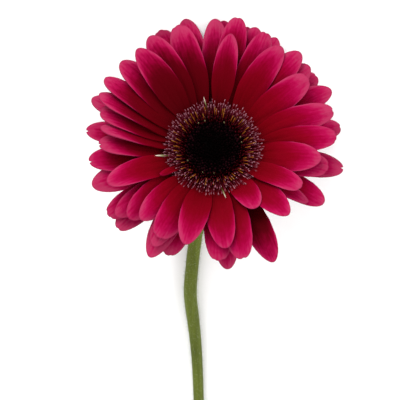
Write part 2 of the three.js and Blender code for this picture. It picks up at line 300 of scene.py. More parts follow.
at_bend = add(
    stem_skin,
    "MapRange",
    {"Value": from_bend, "From Min": CREASES["from"] * MM, "From Max": CREASES["full"] * MM},
)
turns = 2 * pi / (CREASE_SPACING * MM)
crease = add(stem_skin, "Math", {0: up_stem, 1: turns}, operation="MULTIPLY")
crease = add(stem_skin, "Math", {0: crease}, operation="SINE")
crease = add(stem_skin, "Math", {0: crease, 1: at_bend}, operation="MULTIPLY")
height = add(stem_skin, "Math", {0: crease, 1: 0.7, 2: streak}, operation="MULTIPLY_ADD")
dents = add(stem_skin, "Bump", {"Strength": 0.2, "Distance": 0.0001, "Height": height})
surface = add(
    stem_skin,
    "BsdfPrincipled",
    {
        "Base Color": shade,
        "Roughness": 0.6,
        "Specular IOR Level": 0.15,
        "Sheen Weight": 0.36,
        "Sheen Roughness": 0.3,
        "Sheen Tint": paint("#dfe6c4"),
        "Normal": dents,
    },
)
add(stem_skin, "OutputMaterial", {"Surface": surface})

# Pith: the pale, wet, spongy middle of the cut end, in cells that just show.
PITH_CELL = 0.4

pith = blank_material("stem_pith")
place = add(pith, "TexCoord").outputs["Object"]
cells = add(pith, "TexVoronoi", {"Vector": place, "Scale": 1 / (PITH_CELL * MM)})
shade = add(pith, "ValToRGB", {0: cells}, stops=[(0.1, "#8f9a5e"), (0.6, "#c9cfa0")])
surface = add(pith, "BsdfPrincipled", {"Base Color": shade, "Roughness": 0.35})
add(pith, "OutputMaterial", {"Surface": surface})

stem.data.materials.append(stem_skin)
stem.data.materials.append(pith)
bpy.ops.object.mode_set(mode="EDIT")
bpy.ops.mesh.select_mode(type="FACE")
bpy.ops.mesh.select_all(action="DESELECT")
bpy.ops.object.mode_set(mode="OBJECT")
for face in stem.data.polygons:
    face.select = len(face.vertices) > 4 and face.center.y < 0
bpy.ops.object.mode_set(mode="EDIT")
bpy.ops.mesh.inset(thickness=RIND * MM)
bpy.context.object.active_material_index = 1
bpy.ops.object.material_slot_assign()
bpy.ops.transform.translate(value=(0, PITH_SUNK * MM, 0))
bpy.ops.object.mode_set(mode="OBJECT")


def turned(name, outline, sides):
    """A closed piece turned about +Z: a disc, extruded and resized along (radius, height).

    An outline that ends where it starts makes a ring with an open middle."""
    is_ring = outline[0] == outline[-1]
    bpy.ops.object.select_all(action="DESELECT")
    radius, height = outline[0]
    bpy.ops.mesh.primitive_circle_add(
        vertices=sides, radius=radius, fill_type="NOTHING" if is_ring else "NGON"
    )
    piece = bpy.context.object
    piece.name = name
    bpy.ops.object.mode_set(mode="EDIT")
    bpy.ops.mesh.select_mode(type="EDGE")
    bpy.ops.mesh.select_all(action="SELECT")
    bpy.ops.transform.translate(value=(0, 0, height))
    for next_radius, next_height in outline[1:]:
        rise = (0, 0, next_height - height)
        bpy.ops.mesh.extrude_region_move(TRANSFORM_OT_translate={"value": rise})
        share = next_radius / radius
        bpy.ops.transform.resize(value=(share, share, 1), center_override=(0, 0, next_height))
        radius, height = next_radius, next_height
    bpy.ops.mesh.select_all(action="SELECT")
    if is_ring:
        bpy.ops.mesh.remove_doubles(threshold=0.01)
    bpy.ops.mesh.normals_make_consistent(inside=False)
    bpy.ops.object.mode_set(mode="OBJECT")
    return piece


def numbers_on(piece, name, values):
    """Writes a number on each corner of a piece, for its material to read."""
    attribute = piece.data.attributes.new(name, "FLOAT", "POINT")
    attribute.data.foreach_set("value", values)


def number_on(piece, name, value):
    """Writes the same number on every corner of a piece."""
    numbers_on(piece, name, [value] * len(piece.data.vertices))


def measured(piece, length):
    """Writes how far up each corner stands, from 0 at the foot to 1 at the length given."""
    numbers_on(piece, "along", [vertex.co.z / length for vertex in piece.data.vertices])
    return piece


def chosen(*pieces):
    """Selects these pieces and no others, the first of them as the active one."""
    bpy.ops.object.select_all(action="DESELECT")
    for piece in pieces:
        piece.select_set(True)
    bpy.context.view_layer.objects.active = pieces[0]


def joined(pieces, name):
    """Several objects made into one."""
    chosen(*pieces)
    bpy.ops.object.join()
    whole = bpy.context.object
    whole.name = name
    return whole


def between(low, high, share):
    """The value at a share of the way from low to high."""
    return low + (high - low) * share


def copied(master):
    """A copy of a piece, with a mesh of its own."""
    copy = bpy.data.objects.new(master.name, master.data.copy())
    scene.collection.objects.link(copy)
    return copy


def scattered(master, places, chance):
    """Copies of a master, one at each place and each with a tone of its own, made into one."""
    name = master.name
    copies = []
    for place in places:
        copy = copied(master)
        copy.data.transform(place)
        number_on(copy, "tone", between(-1, 1, next(chance)))
        copies.append(copy)
    bpy.data.objects.remove(master)
    return joined(copies, name)


def kept(piece, node, slot, *materials):
    """Gives a finished piece its materials and sets it on the CAD frame."""
    piece.data.name = piece.name
    for material in materials:
        piece.data.materials.append(material)
    chosen(piece)
    bpy.ops.object.shade_smooth_by_angle(angle=radians(45))
    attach(piece, "root")
    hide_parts(node)


kept(stem, "stem", "stem")

# Down: dry, colourless hairs that look white over the green, duller at the foot.
HAIR_LENGTHS = (0.6, 1.4)
HAIR_LEANS = (0.2, 1)  # how far a hair's tip leans along the skin, as a share of its height
HAIR_CLEAR = 0.4  # least height of a hair's foot over the table
STEM_HAIRS = 5200
STEM_DOWNY = (0.02, 0.99)  # where they start and end on the stem


def graded(name, stops, unlike=0.06, roughness=0.6, shine=0.0):
    """A plain tissue whose colour changes from foot to tip.

    Unlike is how far one piece's colours lie from the middle ones, as a share of its length."""
    tissue = blank_material(name)
    along = add(tissue, "Attribute", attribute_name="along").outputs["Fac"]
    tone = add(tissue, "Attribute", attribute_name="tone").outputs["Fac"]
    shift = add(tissue, "Math", {0: tone, 1: unlike, 2: along}, operation="MULTIPLY_ADD")
    shade = add(tissue, "ValToRGB", {0: shift}, stops=stops)
    look = {"Base Color": shade, "Roughness": roughness, "Specular IOR Level": shine}
    surface = add(tissue, "BsdfPrincipled", look)
    add(tissue, "OutputMaterial", {"Surface": surface})
    return tissue


down_hair = graded("gerbera_down", [(0, "#76804e"), (1, "#ccd2ba")], unlike=0, shine=0.5)


def downy(name, foot, tip, count, chance, skin, span):
    """Hairs on a span of a skin, each leaning to the bloom and of its own length."""
    hair = measured(turned(name, [(foot, 0), (tip, 1)], 3), 1)
    places = []
    while len(places) < count:
        point, out, ahead = skin(between(*span, next(chance)), next(chance) * 2 * pi)
        lean = out - ahead * between(*HAIR_LEANS, next(chance))
        turn = lean.to_track_quat("Z", "Y").to_matrix().to_4x4()
        size = between(*HAIR_LENGTHS, next(chance)) * MM
        if point.z > HAIR_CLEAR * MM and point.z + lean.z * size > 0:
            places.append(Matrix.Translation(point) @ turn @ Matrix.Scale(size, 4))
    return scattered(hair, places, chance)


stem_down = downy("stem_down", 0.026, 0.005, STEM_HAIRS, seeded(41), on_stem, STEM_DOWNY)
kept(stem_down, "stem", "stem", down_hair)


# The cup of bracts
# The involucre: a green bowl grown on the end of the stem, which holds the bloom. It is clad in
# three rows of narrow pointed bracts, small stiff leaves that overlap like tiles, each keeled,
# downy and flushed with brown at its tip. The inner row reaches over the rim.
CUP_CURVE = [(3.8, -CUP_DEPTH), (11.5, -14.1), (15.2, -8), (15.8, -1.3)]  # Bezier points
BRACT_ROWS = [
    {"count": 9, "start": 0.06, "end": 0.58, "width": 4.6, "stand": 1.2},
    {"count": 12, "start": 0.3, "end": 0.8, "width": 4.4, "stand": 1.1},
    {"count": 15, "start": 0.52, "end": 1.08, "width": 5.2, "stand": 0.8},
]
BRACT_STEPS = (14, 8)  # along and across
BRACT_THICK = 0.35
BRACT_WIDEST = 0.33  # place along the bract where it is widest
BRACT_CURLS = (0.5, 1.2)  # how far the tip curls out of the row
CUP_STEPS = 12
CUP_SIDES = 64
WALL_PAINTED_SHADE = 0.45  # the wall's place on the bracts' colours from foot to tip, darker as painted shade between them
CUP_HAIRS = 900
CUP_DOWNY = (0.05, 0.95)


def on_cup(share):
    """A point (radius, 0, height) on the outline of the cup and the way out of it."""
    ends = [Vector((radius, 0, height)) for radius, height in CUP_CURVE]
    while len(ends) > 2:
        ends = [a.lerp(b, share) for a, b in zip(ends, ends[1:])]
    ahead = (ends[1] - ends[0]).normalized()
    return ends[0].lerp(ends[1], share), Vector((ahead.z, 0, -ahead.x))


cup_outline = [on_cup(i / CUP_STEPS)[0].xz for i in range(CUP_STEPS + 1)]
cup_wall = turned("cup_wall", cup_outline, CUP_SIDES)
# Painted shade: the wall between the bracts takes a darker green than the bracts' pale feet.
number_on(cup_wall, "along", WALL_PAINTED_SHADE)
cup_wall.data.transform(to_table)


def bract_width(s):
    """The width of a bract at a share of its length, as a share of its greatest width."""
    if s < BRACT_WIDEST:
        return 0.7 + 0.9 * s
    return 1 - 0.94 * ((s - BRACT_WIDEST) / (1 - BRACT_WIDEST)) ** 1.8


def bract_relief(s, q):
    """How far a bract stands up from the cup: keeled in the middle, thin at its sides and tip."""
    return 0.55 - 0.75 * q * q - 0.25 * abs(q) + 0.15 * (1 - s)


flat_bract = flat_grid(*BRACT_STEPS)
bracts = []
chance = seeded(17)
for index, row in enumerate(BRACT_ROWS):
    for i in range(row["count"]):
        azimuth = (i + 0.5 * (index % 2) + between(-0.08, 0.08, next(chance))) / row["count"]
        curl = between(*BRACT_CURLS, next(chance))
        bract = copied(flat_bract)
        numbers_on(bract, "along", [(v.co.x + 1) / 2 for v in bract.data.vertices])
        number_on(bract, "tone", between(-1, 1, next(chance)))
        for vertex in bract.data.vertices:
            s, q = (vertex.co.x + 1) / 2, vertex.co.y
            middle, off = on_cup(between(row["start"], row["end"], s))
            point = middle + off * (row["stand"] * s + curl * max(0, s - 0.7) ** 2 * 8)
            point += off * bract_relief(s, q)
            point.y += q * bract_width(s) * row["width"] / 2
            vertex.co = Matrix.Rotation(azimuth * 2 * pi, 4, "Z") @ point
        bracts.append(bract)
bpy.data.objects.remove(flat_bract)
bracts = joined(bracts, "cup_bracts")


def thickened(piece, thickness, back_material=0):
    """Gives a sheet its thickness, half to each side, in the units of its mesh."""
    solid = piece.modifiers.new("thickness", "SOLIDIFY")
    solid.thickness = thickness
    solid.offset = 0
    solid.material_offset = back_material
    chosen(piece)
    bpy.ops.object.modifier_apply(modifier=solid.name)


thickened(bracts, BRACT_THICK)
bracts.data.transform(to_table)

# Bract skin: dull leaf green, paler at the foot and brown-red at the tip, with a fine mottle.
BRACT_MOTTLE = 1.43

bract_skin = blank_material("gerbera_bract_skin")
along = add(bract_skin, "Attribute", attribute_name="along").outputs["Fac"]
tone = add(bract_skin, "Attribute", attribute_name="tone").outputs["Fac"]
place = add(bract_skin, "TexCoord").outputs["Object"]
scale = 1 / (BRACT_MOTTLE * MM)
mottle = add(bract_skin, "TexNoise", {"Vector": place, "Scale": scale, "Detail": 3})
shift = add(bract_skin, "Math", {0: mottle, 1: 0.3, 2: along}, operation="MULTIPLY_ADD")
shift = add(bract_skin, "Math", {0: tone, 1: 0.05, 2: shift}, operation="MULTIPLY_ADD")
shade = add(
    bract_skin,
    "ValToRGB",
    {0: shift},
    stops=[(0.1, "#5f6c33"), (0.6, "#4c5a26"), (0.9, "#4c4a26"), (1, "#523426")],
)
dents = add(bract_skin, "Bump", {"Strength": 0.3, "Distance": 0.0001, "Height": mottle})
surface = add(
    bract_skin,
    "BsdfPrincipled",
    {"Base Color": shade, "Roughness": 0.6, "Specular IOR Level": 0.2, "Normal": dents},
)
add(bract_skin, "OutputMaterial", {"Surface": surface})

kept(cup_wall, "bract_cup", "bract", bract_skin)
kept(bracts, "bract_cup", "bract", bract_skin)


def cup_surface(share, turn):
    """A point on the bracts, the way out of them and the way down the cup."""
    middle, off = on_cup(share)
    spun = to_table.to_3x3().normalized() @ Matrix.Rotation(turn, 3, "Z")
    point = to_table @ (Matrix.Rotation(turn, 4, "Z") @ (middle + off * 0.5))
    return point, spun @ off, spun @ Vector((off.z, 0, -off.x))


cup_down = downy("cup_down", 0.035, 0.006, CUP_HAIRS, seeded(43), cup_surface, CUP_DOWNY)
kept(cup_down, "bract_cup", "bract", down_hair)


# The ray petals
# Each is the strap of one ray floret: a soft, veined blade, rooted by a narrow claw at the rim of
# the receptacle, channelled near its root and arched at its tip, with now and then two small
# notches at the end. They grow in three layers, and the lowest droop to the table and lie on it.
PETAL_THICK = 0.45
PETAL_STEPS = (34, 22)
SPINE_STEPS = 60
WIDEST = 0.62  # place along the petal where it is widest
CLAW = 0.3  # width of the claw as a share of the petal's width
STAGGER = 1.6  # mm that every other petal of a layer stands over its neighbours
CHANNEL = 0.9  # mm that its edges stand up at the root
ARCH = 0.4  # mm that its edges hang down at the tip
ARCH_NEAR_STEM = 0.9  # mm more for the petals nearest the stem
HOOK = 10  # degrees that its end bends down, past HOOK_FROM of its length
HOOK_NEAR_STEM = 22  # degrees more for the petals nearest the stem
HOOK_FROM = 0.6
ROLL_FROM = 0.4  # place along the petal from which it has its whole roll
DARKEST_SIDE = 120  # the angle round the bloom where the petals have most painted shade
SHADOWED_PETAL = 298  # the angle of one with painted shadow, dark red almost to its tip, as it lies under others
DEEPEST = 0.8  # how far the inner part of that petal is turned to the deepest red, as painted shadow
DEEP_AT_DARKEST_SIDE = 0.75
DEEP_NEAR_STEM = 0.2
# Petals unlike their neighbours, by their angle: how much paler they are, or deeper below 0, how
# wide, and with which tip. The tones are partly the petals' own and partly painted light and
# shade: paler where more light falls, deeper where a petal lies in shadow.
TONES = {17: 1, 36.5: 2, 89: 1.5, 170: 2, 207: -5, 277: -0.5, 285: -1, 298: -1.5}
WIDTH_SHARES = {81: 0.78, 106: 1.1, 198.5: 0.9, 207: 0.2, 254: 0.94, 277: 0.94}
WIDTH_SHARES |= {306: 0.88, 330: 0.7, 336: 0.78}
TIPS = {81: "pointed", 254: "pointed", 318.2: "pointed", 277: "plain"}
TIPS |= {172: "cleft", 178: "cleft", 186: "cleft", 350.5: "cleft"}
TIP_KINDS = ("notched", "blunt", "pointed", "plain", "plain", "plain")  # of the others
TABLE_SPRING = 0.8  # mm over which a drooping petal is turned level by the table
# The root is its radius and height, and the rise is the tip's height over the receptacle. Each
# ray is its angle and reach as read from the photograph, finer than in the CAD model, its roll
# and its own rise, if any. The tips listed as over or under lie that many mm higher or lower, so
# that each petal passes over or under its neighbours.
LAYERS = {
    "front": {
        "root": (14.4, 1.2),
        "rise": 15,
        "curl": 20,
        "width": 12.1,
        "rays": [
            (5, 51.8, 10), (17, 52.7, 12), (36.5, 49.6, 14), (56, 51.4, 12), (65, 53.5, 10),
            (81, 48.6, 0, 17.5), (106, 53.8, -12), (119.5, 54, -14), (127.5, 52.4, -6, 16.5),
            (147.5, 54, 28), (155, 52.8, 34), (162, 49.7, 16), (170, 47.9, 34),
            (198.5, 46.5, 0, 16.5), (225, 42.6, -16), (239, 43.8, -14), (254, 42, -6, 16.5),
            (277, 42.2, 10), (306, 31, 0, 14), (336, 40.4, -8, 16.5), (354, 45.5, 12),
            (207, 25, 0, 12),
        ],
        "over": {5: 2, 36.5: 1, 127.5: 2, 155: 2, 225: 2, 239: 0.5, 254: 2, 306: 0.5, 354: 0.5},
        "under": {17: 2, 147.5: 0.5, 162: 2, 277: 1},
    },
    "middle": {
        "root": (14.7, 0.2),
        "rise": 11.5,
        "curl": 20,
        "width": 11.9,
        "rays": [
            (40.3, 53.2, 8), (47.5, 54.4, 6), (70, 54, 8), (79, 56, 4), (89, 54.5, -6),
            (137, 53, 8), (178, 47.9, 18), (215, 49.6, -14), (220, 45.9, -16), (239, 48, -8),
            (273, 47.2, 0), (285, 47.9, 8), (318.2, 42.2, -4, 14), (330, 45.7, -30, 9),
            (350, 48.9, 8),
        ],
        "over": {47.5: 1.5, 79: 1.5, 137: 2, 178: 1.5, 220: 2, 285: 0.5, 318.2: 2},
        "under": {70: 1, 215: 2, 239: 1, 273: 1, 330: 2},
    },
    "back": {
        "root": (15, -0.4),
        "rise": 5,
        "curl": 22,
        "width": 11.7,
        "rays": [
            (9, 54.3, 6), (26, 55.4, 6), (34.8, 53.2, 4), (74, 54, 4, 2.8), (85, 54.4, 0, 4.4),
            (102, 56.1, -4, 4.4), (114, 55.2, -6, 2), (158, 55, 16), (172, 53.8, 6),
            (186, 52.3, 0), (197.5, 53, -6), (213, 52.2, -12), (220.3, 52.3, 0), (240, 52.8, 0),
            (247, 48.7, -6), (277, 51, 0), (298, 54, 14), (333.5, 51.8, 4), (350.5, 55.3, 6),
            (60, 53.7, 4),
        ],
        "over": {102: 0.5, 186: 0.5, 213: 1, 240: 1},
        "under": {9: 1.5, 60: 0.5, 74: 2, 85: 0.5, 114: 1, 197.5: 1, 247: 1.5, 277: 2, 333.5: 2},
    },
}


def smooth_dip(q, place, width):
    """A rounded dip of depth 1 at a place across a petal."""
    return exp(-(((q - place) / width) ** 2))


def flat_petal(notch_depth, notches, roundness, notch_width=0.09):
    """A petal laid flat, 1 long from root to tip and 2 wide, with its folds in mm.

    Its end is an ellipse where the roundness is 2, more pointed below that and blunter above."""
    petal = flat_grid(*PETAL_STEPS)
    layer = petal.data.uv_layers.active
    for loop in petal.data.loops:
        vertex = petal.data.vertices[loop.vertex_index].co
        layer.data[loop.index].uv = ((vertex.x + 1) / 2, (vertex.y + 1) / 2)
    for vertex in petal.data.vertices:
        s = (vertex.co.x + 1) / 2
        q = vertex.co.y
        end = 1 - (1 - WIDEST) * (1 - sqrt(max(0, 1 - abs(q) ** roundness)))
        end -= sum(notch_depth * smooth_dip(q, place, notch_width) for place in notches)
        taper = CLAW + (1 - CLAW) * sin(min(1, s / WIDEST) * pi / 2)
        folds = smooth_dip(q, 0.36, 0.1) + smooth_dip(q, -0.36, 0.1)
        relief = -0.2 * folds * sin(pi * min(1, s * 1.15 + 0.1))
        relief += 0.3 * smooth_dip(q, 0, 0.22) * s**6  # the middle is raised at the very tip
        vertex.co = (s - (1 - end) * s * s, q * taper, relief)
    return petal


flat_petals = {
    "plain": flat_petal(0, (), 2.1),
    "pointed": flat_petal(0, (), 1.8),
    "blunt": flat_petal(0.01, (0.05,), 2.5),
    "notched": flat_petal(0.01, (-0.3, 0.22), 2.6),
    "cleft": flat_petal(0.03, (0.09,), 2.2, notch_width=0.05),
}


def slope(s, curl, hook):
    """The slope along a petal whose root is level."""
    return -radians(curl * s + hook * max(0, s - HOOK_FROM) / (1 - HOOK_FROM))


def spine(root, tip, curl, hook):
    """The middle line of a petal: (radius, height, slope) at even steps from root to tip."""
    line = [(0.0, 0.0)]
    for i in range(SPINE_STEPS):
        angle = slope((i + 0.5) / SPINE_STEPS, curl, hook)
        r, h = line[-1]
        line.append((r + cos(angle) / SPINE_STEPS, h + sin(angle) / SPINE_STEPS))
    end_r, end_h = line[-1]
    run, climb = tip[0] - root[0], tip[1] - root[1]
    length = hypot(run, climb) / hypot(end_r, end_h)
    tilt = atan2(climb, run) - atan2(end_h, end_r)
    placed = []
    for i, (r, h) in enumerate(line):
        radius = root[0] + length * (r * cos(tilt) - h * sin(tilt))
        height = root[1] + length * (r * sin(tilt) + h * cos(tilt))
        placed.append((radius, height, tilt + slope(i / SPINE_STEPS, curl, hook)))
    return placed


def on_spine(line, s):
    """The place on a spine at a share s of its length."""
    place = min(max(s, 0), 1) * (len(line) - 1)
    i = min(int(place), len(line) - 2)
    return [between(a, b, place - i) for a, b in zip(line[i], line[i + 1])]


def rested(point, half):
    """A point that droops to the table, moved up to lie on it with half a petal under it."""
    over = point.z / MM - half - TABLE_SPRING
    if over < 0:
        point.z = (half + TABLE_SPRING * exp(over / TABLE_SPRING)) * MM
    return point


def grown_petal(master, angle, reach, roll, rise, root, width, curl, wave, bow):
    """A copy of a flat petal, bent along its spine and set in its place on the bloom."""
    x = reach * cos(radians(angle))
    y = reach * sin(radians(angle)) - (rise - SEEN_HEIGHT) * sin(SEEN_LEAN)
    y /= cos(SEEN_LEAN)
    azimuth = atan2(y, x)
    near_stem = max(0, -sin(azimuth))
    arch = ARCH + ARCH_NEAR_STEM * near_stem
    line = spine(root, (hypot(x, y), rise), curl, HOOK + HOOK_NEAR_STEM * near_stem)
    out = Vector((cos(azimuth), sin(azimuth), 0))
    side = Vector((-sin(azimuth), cos(azimuth), 0))
    up = Vector((0, 0, 1))
    petal = copied(master)
    uv = {}
    for loop in petal.data.loops:
        uv[loop.vertex_index] = petal.data.uv_layers.active.data[loop.index].uv.copy()
    for vertex in petal.data.vertices:
        s, q = uv[vertex.index].x, uv[vertex.index].y * 2 - 1
        flat = vertex.co.copy()
        radius, height, angle_here = on_spine(line, flat.x)
        turn = radians(roll) * min(1, flat.x / ROLL_FROM)
        normal = up * cos(angle_here) - out * sin(angle_here)
        edge = side * cos(turn) + normal * sin(turn)
        facing_up = normal * cos(turn) - side * sin(turn)
        lift = q * q * (CHANNEL * (1 - flat.x) - arch * flat.x) + flat.z
        lift += wave[0] * abs(q) * q * sin(flat.x * wave[1] + wave[2]) * flat.x
        across = flat.y * width / 2 + bow * sin(pi * flat.x)
        point = out * radius + up * height + edge * across + facing_up * lift
        vertex.co = rested(to_table @ point, PETAL_THICK / 2)
    return petal


# Petal tissue: thin, soft and matt as velvet, with veins, streaks and blotches that follow the
# blade. The eye sees wine red at the root, crimson further out and a dusty pink at the tip. The
# darkest red at the root is partly the petal's own and partly painted shade. The upper side's
# thin purple rim at the tip is painted shade, where the edge curls under, and the under side's
# paler rim is a painted highlight. The under side is duller and changes less along the petal.
PETAL_LENGTH = 40  # of a petal of middling size, on which the patterns are measured
PETAL_WIDTH = 12
PETAL_STREAK_LENGTH = 10
PETAL_STREAK_WIDTH = 0.8
RIB_SPACING = 1.37  # of the veins
BLOTCH_WIDTH = 4  # they are longer than wide, as the petal is
MOTTLE_LENGTH = 1.818
MOTTLE_WIDTH = 1.333
# The deepest red, laid over the inner part of some petals as painted shade.
DEEPEST_RED = "#380004"


def petal_tissue(name, stops, painted_rim, painted_rim_share, streak_share):
    """The tissue of one side: its colours from root to tip, its painted rim and how much it is
    streaked.
    """
    tissue = blank_material(name)
    where = add(tissue, "UVMap")
    parts = add(tissue, "SeparateXYZ", {0: where})
    along, across = parts.outputs["X"], parts.outputs["Y"]
    tone = add(tissue, "Attribute", attribute_name="tone").outputs["Fac"]
    seed = add(tissue, "Math", {0: tone, 1: 37}, operation="MULTIPLY")
    scale = (PETAL_LENGTH / PETAL_STREAK_LENGTH, PETAL_WIDTH / PETAL_STREAK_WIDTH, 1)
    stretch = add(tissue, "Mapping", {"Vector": where, "Scale": scale})
    streaks = add(
        tissue,
        "TexNoise",
        {"Vector": stretch, "W": seed, "Scale": 1, "Detail": 4, "Roughness": 0.65},
        noise_dimensions="4D",
    )
    blotches = add(
        tissue,
        "TexNoise",
        {"Vector": where, "W": seed, "Scale": PETAL_WIDTH / BLOTCH_WIDTH, "Detail": 2},
        noise_dimensions="4D",
    )
    # A wave texture has a band each 0.314 of a unit, and the petal is 5 units wide in it.
    stretch = add(tissue, "Mapping", {"Vector": where, "Scale": (0.5, 5, 1)})
    scale = 0.314 * PETAL_WIDTH / RIB_SPACING / 5
    ribs = add(
        tissue,
        "TexWave",
        {"Vector": stretch, "Scale": scale, "Distortion": 3, "Detail": 3, "Phase Offset": seed},
        bands_direction="Y",
    )
    scale = (PETAL_LENGTH / MOTTLE_LENGTH, PETAL_WIDTH / MOTTLE_WIDTH, 1)
    stretch = add(tissue, "Mapping", {"Vector": where, "Scale": scale})
    mottle = add(
        tissue,
        "TexNoise",
        {"Vector": stretch, "W": seed, "Scale": 1, "Detail": 2},
        noise_dimensions="4D",
    )
    off_middle = add(tissue, "Math", {0: across, 1: 0.5}, operation="SUBTRACT")
    off_middle = add(tissue, "Math", {0: off_middle}, operation="ABSOLUTE")
    to_side = add(tissue, "Math", {0: off_middle, 1: off_middle}, operation="MULTIPLY")
    shift = add(tissue, "Math", {0: tone, 1: 0.04, 2: along}, operation="MULTIPLY_ADD")
    shift = add(tissue, "Math", {0: to_side, 1: 0.16, 2: shift}, operation="MULTIPLY_ADD")
    patterns = (streaks, streak_share), (blotches, 0.23), (mottle, 0.14), (ribs, 0.02)
    for pattern, share in patterns:
        even = add(tissue, "Math", {0: pattern, 1: 0.5}, operation="SUBTRACT")
        shift = add(tissue, "Math", {0: even, 1: share, 2: shift}, operation="MULTIPLY_ADD")
    base = add(tissue, "ValToRGB", {0: shift}, stops=stops)
    # Painted shade: the inner part of the petals given a deep number is turned towards the deepest
    # red.
    deep = add(tissue, "Attribute", attribute_name="deep").outputs["Fac"]
    painted_shade = add(tissue, "MapRange", {"Value": shift, "From Min": 0.94, "From Max": 0.66})
    painted_shade = add(tissue, "Math", {0: painted_shade, 1: deep}, operation="MULTIPLY")
    base = add(tissue, "Mix", {0: painted_shade, 6: base, 7: paint(DEEPEST_RED)}, data_type="RGBA")
    # Painted rim at the tip's edges and end: painted shade on the upper side, a painted highlight
    # on the under side.
    edge = add(tissue, "MapRange", {"Value": off_middle, "From Min": 0.46, "From Max": 0.5})
    end = add(tissue, "MapRange", {"Value": along, "From Min": 0.985, "From Max": 1.0})
    at_tip = add(tissue, "MapRange", {"Value": along, "From Min": 0.6, "From Max": 0.9})
    edge = add(tissue, "Math", {0: edge, 1: at_tip}, operation="MULTIPLY")
    at_painted_rim = add(tissue, "Math", {0: edge, 1: end}, operation="MAXIMUM")
    at_painted_rim = add(tissue, "Math", {0: at_painted_rim, 1: painted_rim_share}, operation="MULTIPLY")
    colour = add(tissue, "Mix", {0: at_painted_rim, 6: base.outputs[2], 7: paint(painted_rim)}, data_type="RGBA")
    height = add(tissue, "Math", {0: ribs, 1: 0.3, 2: streaks}, operation="MULTIPLY_ADD")
    veins = add(tissue, "Bump", {"Strength": 0.3, "Distance": 0.00015, "Height": height})
    surface = add(
        tissue,
        "BsdfPrincipled",
        {
            "Base Color": colour,
            "Roughness": 0.6,
            "Specular IOR Level": 0.01,
            "Sheen Weight": 0.01,
            "Sheen Roughness": 0.5,
            "Sheen Tint": paint("#ff4f94"),
            "Normal": veins,
        },
    )
    add(tissue, "OutputMaterial", {"Surface": surface})
    return tissue


petal_face = petal_tissue(
    "petal_tissue_upper_side",
    # The darkest stops at the root are partly the petal's own colour and partly painted shade.
    [(0, "#340002"), (0.35, "#5e0008"), (0.6, "#6e0012"), (0.72, "#78001e")]
    + [(0.82, "#87012f"), (0.9, "#940a3e"), (1, "#9a2a4d")],
    # its rim is painted shade, where the edge curls under
    painted_rim="#5c1430",
    painted_rim_share=0.35,
    streak_share=0.21,
)
petal_back = petal_tissue(
    "petal_tissue_under_side",
    [(0, "#4a1218"), (0.4, "#5e1226"), (0.8, "#6e203a"), (1, "#74324a")],
    # its rim is a painted highlight on the thin edge
    painted_rim="#80485e",
    painted_rim_share=0.4,
    streak_share=0.22,
)

draw = seeded(11)  # for the petals' sizes
habit = seeded(5)  # for their tips, waves, bows and tones
for layer_name, layer in LAYERS.items():
    petals = []
    for i, ray in enumerate(layer["rays"]):
        angle, reach, roll = ray[:3]
        width = layer["width"] * between(0.94, 1.06, next(draw)) * WIDTH_SHARES.get(angle, 1)
        curl = layer["curl"] + between(-4, 4, next(draw))
        lift = (0.5 if i % 2 else -0.5) * STAGGER
        if len(ray) > 3:
            rise = ray[3]
        else:
            rise = layer["rise"] + lift + between(-0.3, 0.3, next(draw))
        rise += layer["over"].get(angle, 0) - layer["under"].get(angle, 0)
        root = (layer["root"][0], layer["root"][1] + lift / 2)
        kind = TIP_KINDS[int(len(TIP_KINDS) * next(habit))]
        master = flat_petals[TIPS.get(angle, kind)]
        # Its edges wave by this many mm, in this many radians along it, from this phase on.
        wave = [between(*ends, next(habit)) for ends in ((0.3, 0.8), (5, 9), (0, 6.3))]
        bow = between(-0.8, 0.8, next(habit))
        petal = grown_petal(master, angle, reach, roll, rise, root, width, curl, wave, bow)
        # The petals of the most shaded side have more of their inner part turned to the deepest
        # red:
        # painted shade, where the bowl of the bloom turns them from the light. Those nearest the
        # stem have a little more too.
        away = max(0, cos(radians(angle - DARKEST_SIDE)))
        near_stem = max(0, -sin(radians(angle)))
        deep = DEEP_AT_DARKEST_SIDE * away**1.5 + DEEP_NEAR_STEM * near_stem
        if angle == SHADOWED_PETAL:
            deep = DEEPEST
        # Its tone: a random one plus its listed one, which is partly painted light and shade.
        number_on(petal, "tone", between(-1, 1, next(habit)) + TONES.get(angle, 0))
        number_on(petal, "deep", deep)
        petals.append(petal)
    petals = joined(petals, "ray_petals_" + layer_name)
    thickened(petals, PETAL_THICK * MM, back_material=1)
    kept(petals, "ray_petals", "petal", petal_face, petal_back)

for master in flat_petals.values():
    bpy.data.objects.remove(master)

# The petals' tubes stand side by side in a ring round the receptacle and swell a little each.
TUBES = 48
TUBE_SWELL = 0.012
TUBE_TOP = 2.2
tube_outline = [(13.7, -1), (15.8, -1), (15.8, 0.8), (14.8, TUBE_TOP), (13.7, TUBE_TOP), (13.7, -1)]
petal_tubes = turned("petal_tubes", tube_outline, 2 * TUBES)
for vertex in petal_tubes.data.vertices:
    swell = 1 + TUBE_SWELL * cos(TUBES * atan2(vertex.co.y, vertex.co.x))
    vertex.co.x *= swell
    vertex.co.y *= swell
measured(petal_tubes, TUBE_TOP)
petal_tubes.data.transform(to_table)

# Tube tissue: smooth and juicy, green as the bracts at the foot and wine red at the top.
tube_tissue = graded("petal_tube_tissue", [(0, "#5c6630"), (1, "#4a0006")], shine=0.5)
kept(petal_tubes, "ray_petals", "petal", tube_tissue)


